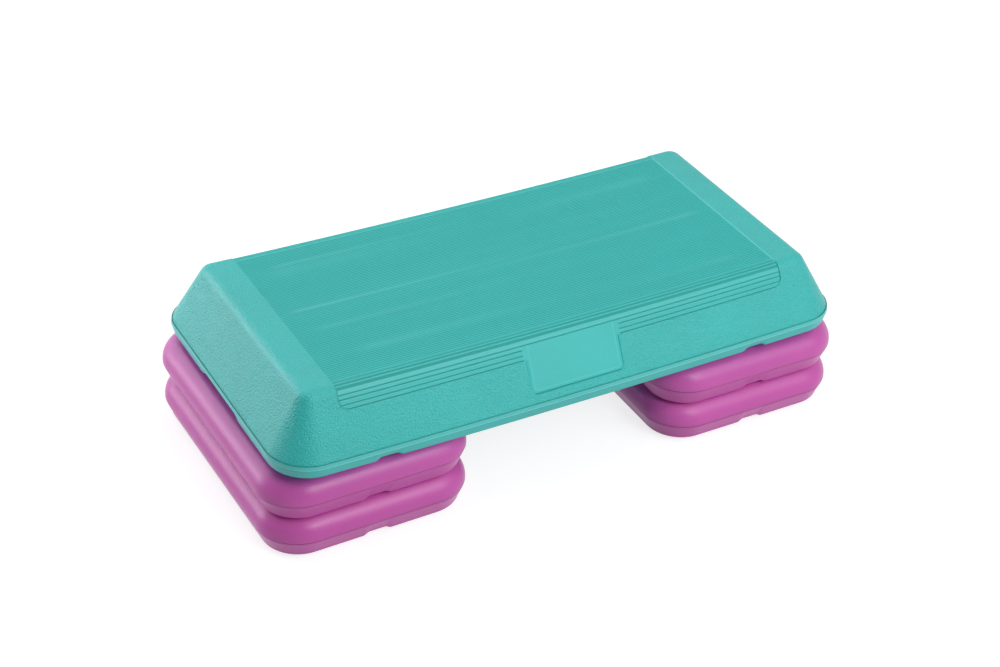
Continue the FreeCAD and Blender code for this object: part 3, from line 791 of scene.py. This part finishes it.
def build_riser(name, body, turn, material):
    """A riser: drafted skirt with notches, a bead and a groove, dome, and a crown with four round cups."""
    low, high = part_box(name)
    centre = (low + high) / 2
    riser_notch = notch_lines(0.0, RISER_NOTCH)
    lines_x = merged(spread(-RISER_STRAIGHT_X, RISER_STRAIGHT_X, LINE_STEP), riser_notch)
    lines_y = spread(-RISER_STRAIGHT_Y, RISER_STRAIGHT_Y, LINE_STEP)
    outline = Outline(lines_x, lines_y)
    rings = []
    painted_shades = []
    for inset, z, notched, groove in riser_profile():
        ring = outline.ring(RISER_HALF_LENGTH - inset, RISER_HALF_WIDTH - inset, RISER_CORNER_RADIUS - inset, z)
        for side in ("front", "back"):
            first, last = outline.sides[side]
            ring[first:last, 2] += notched * notch_lift(ring[first:last, 0], 0.0, RISER_NOTCH)
        rings.append(ring)
        # painted shade in the parting groove, from its share of the groove's depth
        painted_shades.append(np.full(outline.count, groove))
    faces = []
    for index in range(len(rings) - 1):
        faces.extend(ring_faces(index * outline.count, (index + 1) * outline.count, outline.count))
    faces.append(list(range(outline.count - 1, -1, -1)))
    points = np.concatenate(rings).tolist()

    # the crown, its cups' rounded edges, walls and floors
    turns = np.linspace(0, 2 * math.pi, 2 * ARC_STEPS, endpoint=False)
    circle = np.stack([np.cos(turns), np.sin(turns)], axis=1)
    cup_centres = [np.array([x, y]) for x in (-CUP_X, CUP_X) for y in (-CUP_Y, CUP_Y)]
    holes = [np.column_stack([middle + circle * (CUP_RADIUS + CUP_EDGE), np.full(len(turns), RISER_HEIGHT)])
             for middle in cup_centres]
    flat, triangles, origins = flat_face(rings[-1], holes, RISER_HEIGHT)
    base = len(points)
    ring_start = (len(rings) - 1) * outline.count
    number = {}
    hole_numbers = {}
    for index, source in enumerate(origins):
        if source and source[0] < outline.count:
            number[index] = ring_start + source[0]
        else:
            number[index] = base
            points.append(flat[index])
            base += 1
            if source:
                hole_numbers[source[0] - outline.count] = number[index]
    faces.extend([number[index] for index in triangle] for triangle in triangles)
    cup_levels = [(CUP_RADIUS + CUP_EDGE * (1 - math.sin(angle)), RISER_HEIGHT - CUP_EDGE * (1 - math.cos(angle)))
                  for angle in quarter_turn(CUP_EDGE_STEPS)[1:]]
    cup_levels += [(CUP_RADIUS, RISER_HEIGHT - CUP_DEPTH + CUP_EDGE),
                   (CUP_RADIUS - CUP_EDGE, RISER_HEIGHT - CUP_DEPTH)]
    for hole, middle in enumerate(cup_centres):
        above = [hole_numbers[hole * len(turns) + index] for index in range(len(turns))]
        for radius, z in cup_levels:
            below = list(range(base, base + len(turns)))
            points.extend((*(middle + radius * direction), z) for direction in circle)
            base += len(turns)
            for index in range(len(turns)):
                after = (index + 1) % len(turns)
                faces.append((above[index], above[after], below[after], below[index]))
            above = below
        faces.append(above)
    matrix = Matrix.Translation((centre.x, centre.y, low.z)) @ Matrix.Rotation(math.radians(turn), 4, "Z")
    vertices = [matrix @ Vector(point) for point in points]
    crown = np.zeros(len(points) - len(rings) * outline.count)
    new_object(f"{name}_moulding", vertices, faces, body, material, name,
               {"painted_shade": np.concatenate([*painted_shades, crown])})


def new_material(name):
    """A node material with its tree and its shader."""
    material = bpy.data.materials.new(name)
    material.use_nodes = True
    return material, material.node_tree, material.node_tree.nodes["Principled BSDF"]


def node(tree, kind, inputs=None, **settings):
    """A shader node with its settings, and a link or a value for each input."""
    made = tree.nodes.new(kind)
    for key, value in settings.items():
        setattr(made, key, value)
    for key, value in (inputs or {}).items():
        if isinstance(value, bpy.types.NodeSocket):
            tree.links.new(value, made.inputs[key])
        else:
            made.inputs[key].default_value = value
    return made


def ramp(tree, value, stops):
    """A colour ramp through the given places and colours."""
    made = node(tree, "ShaderNodeValToRGB", {"Fac": value})
    elements = made.color_ramp.elements
    while len(elements) < len(stops):
        elements.new(0.5)
    for element, (place, colour) in zip(elements, stops):
        element.position = place
        element.color = (*colour, 1.0)
    return made.outputs["Color"]


def linear(red, green, blue):
    """A colour that appears on screen as given, from 0 to 255, in linear light by the sRGB curve."""
    return tuple((value / 255 / 12.92) if value <= 10 else ((value / 255 + 0.055) / 1.055) ** 2.4
                 for value in (red, green, blue))


def grey(level):
    """A grey of the given level, in linear light."""
    return (level, level, level, 1.0)


def times(tree, first, second):
    """The product of two values."""
    return node(tree, "ShaderNodeMath", {0: first, 1: second}, operation="MULTIPLY").outputs[0]


def mixed(tree, share, first, second):
    """A blend of two colours."""
    return node(tree, "ShaderNodeMix", {0: share, 6: first, 7: second}, data_type="RGBA").outputs[2]


def moulded_plastic(name, colours, pebble, pebble_height, pebble_shade, roughness, shine, flow_share, marked):
    """Moulded polyethylene: cloudy and streaky colour, pebbled skin with darker pits, painted shade in its crevices,
    painted highlights where marked and an uneven gloss.
    """
    material, tree, shader = new_material(name)
    place = node(tree, "ShaderNodeTexCoord").outputs["Object"]
    cloud = node(tree, "ShaderNodeTexNoise", {"Vector": place, **CLOUD_NOISE})
    flow_place = node(tree, "ShaderNodeMapping", {"Vector": place, "Scale": FLOW_STRETCH})
    flow = node(tree, "ShaderNodeTexNoise", {"Vector": flow_place.outputs["Vector"], **FLOW_NOISE})
    blend = node(tree, "ShaderNodeMix", {0: flow_share, 2: cloud.outputs["Fac"], 3: flow.outputs["Fac"]})
    colour = ramp(tree, blend.outputs[0], tuple(zip(PLAIN_PLACES, colours["plain"])))
    # painted shade in crevices, as a mix toward the shade colour
    groove = node(tree, "ShaderNodeAttribute", attribute_name="painted_shade").outputs["Fac"]
    colour = mixed(tree, groove, colour, (*colours["groove"], 1.0))
    grain = node(tree, "ShaderNodeTexVoronoi", {"Vector": place, "Scale": 1 / pebble}, feature="SMOOTH_F1")
    fine = node(tree, "ShaderNodeTexNoise", {"Vector": place, "Scale": 1 / pebble, "Detail": PEBBLE_DETAIL})
    skin = node(tree, "ShaderNodeMix", {0: PEBBLE_FINE_SHARE, 2: grain.outputs["Distance"], 3: fine.outputs["Fac"]})
    height = skin.outputs[0]
    shade = node(tree, "ShaderNodeMapRange", {"Value": height, "From Min": PIT_SHADE_FROM, "From Max": PIT_SHADE_TO,
                                              "To Min": 0.0, "To Max": pebble_shade}).outputs["Result"]
    if marked:
        strength = node(tree, "ShaderNodeAttribute", attribute_name="grain").outputs["Fac"]
        height = times(tree, height, strength)
        shade = times(tree, shade, strength)
    colour = mixed(tree, shade, colour, (*colours["groove"], 1.0))
    bump = node(tree, "ShaderNodeBump", {"Height": height, "Distance": pebble_height, "Strength": 1.0},
                invert=True)
    # painted highlights, as a mix toward the lighter colour
    if marked:
        painted_highlight = node(tree, "ShaderNodeAttribute", attribute_name="painted_highlight").outputs["Fac"]
        colour = mixed(tree, painted_highlight, colour, (*colours["painted_highlight"], 1.0))
    rough = node(tree, "ShaderNodeMapRange", {"Value": cloud.outputs["Fac"], "To Min": roughness - ROUGHNESS_SPREAD,
                                              "To Max": roughness + ROUGHNESS_SPREAD})
    dull = node(tree, "ShaderNodeMath", {0: groove, 1: GROOVE_DULLNESS, 2: rough.outputs["Result"]},
                operation="MULTIPLY_ADD")
    tree.links.new(colour, shader.inputs["Base Color"])
    tree.links.new(bump.outputs["Normal"], shader.inputs["Normal"])
    tree.links.new(dull.outputs[0], shader.inputs["Roughness"])
    shader.inputs["IOR"].default_value = PLASTIC_IOR
    shader.inputs["Specular IOR Level"].default_value = shine
    return material


def rubber():
    """Matte black rubber with dust and scuffs."""
    material, tree, shader = new_material("black_rubber")
    place = node(tree, "ShaderNodeTexCoord").outputs["Object"]
    dust = node(tree, "ShaderNodeTexNoise", {"Vector": place, **DUST_NOISE})
    colour = ramp(tree, dust.outputs["Fac"], [(share, linear(*tone)) for share, tone in DUST_COLOURS])
    fine = node(tree, "ShaderNodeTexNoise", {"Vector": place, **RUBBER_GRAIN})
    bump = node(tree, "ShaderNodeBump", {"Height": fine.outputs["Fac"], "Distance": RUBBER_GRAIN_HEIGHT})
    rough = node(tree, "ShaderNodeMapRange", {"Value": dust.outputs["Fac"], "To Min": RUBBER_ROUGHNESS[0],
                                              "To Max": RUBBER_ROUGHNESS[1]})
    tree.links.new(colour, shader.inputs["Base Color"])
    tree.links.new(bump.outputs["Normal"], shader.inputs["Normal"])
    tree.links.new(rough.outputs["Result"], shader.inputs["Roughness"])
    return material


def build_camera():
    """The photograph's camera: its place, its aim point, its tilt and its lens."""
    turn, rise, roll = map(math.radians, (CAMERA_TURN, CAMERA_RISE, CAMERA_ROLL))
    back = Vector((math.sin(turn) * math.cos(rise), -math.cos(turn) * math.cos(rise), math.sin(rise)))
    right = Vector((0, 0, 1)).cross(back).normalized()
    up = back.cross(right)
    right, up = math.cos(roll) * right + math.sin(roll) * up, math.cos(roll) * up - math.sin(roll) * right
    data = bpy.data.cameras.new("camera")
    data.sensor_fit = "HORIZONTAL"
    data.sensor_width = CAMERA_SENSOR
    data.lens = CAMERA_LENS
    camera = bpy.data.objects.new("camera", data)
    bpy.context.scene.collection.objects.link(camera)
    place = Vector(CAMERA_AIM) + back * CAMERA_DISTANCE
    axes = Matrix((right, up, back)).transposed().to_4x4()
    camera.matrix_world = Matrix.Translation(place) @ axes
    bpy.context.scene.camera = camera


def build_lamp(name, place, size, power):
    """A soft square lamp, a little cooler on the left."""
    data = bpy.data.lights.new(name, "AREA")
    data.size = size
    data.energy = power
    if name in COOL_LAMPS:
        data.color = COOL_LIGHT
    lamp = bpy.data.objects.new(name, data)
    bpy.context.scene.collection.objects.link(lamp)
    lamp.location = place
    lamp.rotation_euler = (Vector(LAMP_AIM) - Vector(place)).to_track_quat("-Z", "Y").to_euler()


def seen(tree):
    """1 for what the camera sees directly or in a reflection, 0 for light that falls on the object."""
    path = node(tree, "ShaderNodeLightPath")
    return node(tree, "ShaderNodeMath", {0: path.outputs["Is Camera Ray"], 1: path.outputs["Is Glossy Ray"]},
                operation="MAXIMUM").outputs[0]


def build_floor():
    """A white floor that keeps the soft shadow and runs into the backdrop."""
    half = FLOOR_HALF_WIDTH
    mesh = bpy.data.meshes.new("floor")
    mesh.from_pydata([(-half, -half, 0), (half, -half, 0), (half, half, 0), (-half, half, 0)], [], [(0, 1, 2, 3)])
    material, tree, shader = new_material("floor_white")
    shader.inputs["Base Color"].default_value = grey(FLOOR_RETURN)
    shader.inputs["Roughness"].default_value = FLOOR_ROUGHNESS
    shader.inputs["Specular IOR Level"].default_value = 0.0
    shadow = node(tree, "ShaderNodeBsdfDiffuse", {"Color": grey(FLOOR_SHADOW)})
    place = node(tree, "ShaderNodeTexCoord").outputs["Object"]
    away = node(tree, "ShaderNodeVectorMath", {0: place}, operation="LENGTH").outputs["Value"]
    level = node(tree, "ShaderNodeMapRange", {"Value": away, "From Min": FLOOR_FADE_START, "From Max": FLOOR_FADE_END,
                                              "To Min": FLOOR_GLOW, "To Max": BACKDROP_GLOW})
    glow = node(tree, "ShaderNodeEmission", {"Color": WHITE, "Strength": level.outputs["Result"]})
    white = node(tree, "ShaderNodeAddShader", {0: shadow.outputs[0], 1: glow.outputs[0]})
    shown = node(tree, "ShaderNodeMixShader", {0: seen(tree), 1: shader.outputs[0], 2: white.outputs[0]})
    tree.links.new(shown.outputs[0], tree.nodes["Material Output"].inputs["Surface"])
    mesh.materials.append(material)
    floor = bpy.data.objects.new("floor", mesh)
    bpy.context.scene.collection.objects.link(floor)


def build_world():
    """A white backdrop that is seen but gives no light."""
    world = bpy.data.worlds.new("studio")
    world.use_nodes = True
    tree = world.node_tree
    sky = tree.nodes["Background"]
    sky.inputs["Strength"].default_value = SKY_STRENGTH
    backdrop = node(tree, "ShaderNodeBackground", {"Color": WHITE, "Strength": BACKDROP_GLOW})
    shown = node(tree, "ShaderNodeMixShader", {0: seen(tree), 1: sky.outputs[0], 2: backdrop.outputs[0]})
    tree.links.new(shown.outputs[0], tree.nodes["World Output"].inputs["Surface"])
    bpy.context.scene.world = world


# The plastics' colours: three plain shades, the colour of the painted shade in their grooves, which also darkens the
# pebbles' pits, and, on the platform, the colour of its painted highlights
TEAL_COLOURS = {
    "plain": (linear(43, 177, 173), linear(47, 182, 178), linear(52, 187, 183)),
    "groove": linear(12, 130, 125),
    "painted_highlight": linear(112, 208, 206),
}
ORCHID_COLOURS = {
    "plain": (linear(195, 85, 168), linear(200, 90, 173), linear(205, 95, 178)),
    "groove": linear(138, 38, 108),
}
TEAL = moulded_plastic("teal_plastic", TEAL_COLOURS, pebble=0.0018, pebble_height=0.0015, pebble_shade=0.14,
                       roughness=0.38, shine=0.43, flow_share=0.35, marked=True)
TREAD = moulded_plastic("teal_tread", TEAL_COLOURS, pebble=0.0018, pebble_height=0.0012, pebble_shade=0.12,
                        roughness=0.42, shine=0.39, flow_share=0.7, marked=True)
ORCHID = moulded_plastic("orchid_plastic", ORCHID_COLOURS, pebble=0.0012, pebble_height=0.0002, pebble_shade=0.08,
                         roughness=0.33, shine=0.35, flow_share=0.35, marked=False)
RUBBER = rubber()

build_platform(TEAL, TREAD)
# Each riser's body and how far it is turned
RISERS = {
    "lower_left_riser": ("base", LEFT_STACK_TURN),
    "lower_right_riser": ("base", 0.0),
    "upper_left_riser": ("upper_left", LEFT_STACK_TURN),
    "upper_right_riser": ("upper_right", 0.0),
}
for riser, (riser_body, riser_turn) in RISERS.items():
    build_riser(riser, riser_body, riser_turn, ORCHID)
# The feet keep their CAD shape
for name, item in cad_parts.items():
    if "_foot_" in name:
        item.data.materials.clear()
        item.data.materials.append(RUBBER)

build_camera()
build_floor()
build_world()
for lamp_name, (lamp_place, lamp_size, lamp_power) in LAMPS.items():
    build_lamp(lamp_name, lamp_place, lamp_size, lamp_power)
bpy.context.scene.view_settings.view_transform = "Standard"
